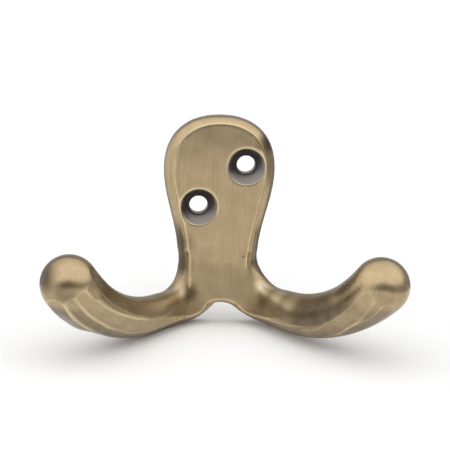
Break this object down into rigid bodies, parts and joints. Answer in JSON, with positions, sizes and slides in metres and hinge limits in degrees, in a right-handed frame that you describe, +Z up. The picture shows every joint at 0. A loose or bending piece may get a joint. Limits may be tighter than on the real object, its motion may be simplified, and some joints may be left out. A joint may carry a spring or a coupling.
{
  "type": "robe hook",
  "caption": "Cast wall hook: rounded plate with countersunk screw holes on a slant, its foot splitting into arms that curve forward and up to ball ends.",
  "frame": {"origin": "on the mounting face and the hook's middle line, level with the middle between the two screw holes", "axes": "+X to the right along the wall seen from the front, +Y into the wall, +Z up"},
  "size_m": [0.0758, 0.04, 0.0472],
  "materials": {
    "antique_brass": "antique brass, brushed on the flat face, hand-filed on the arms, lacquered"
  },
  "bodies": {
    "root": {"hook_casting": "antique_brass"}
  },
  "joints": []
}
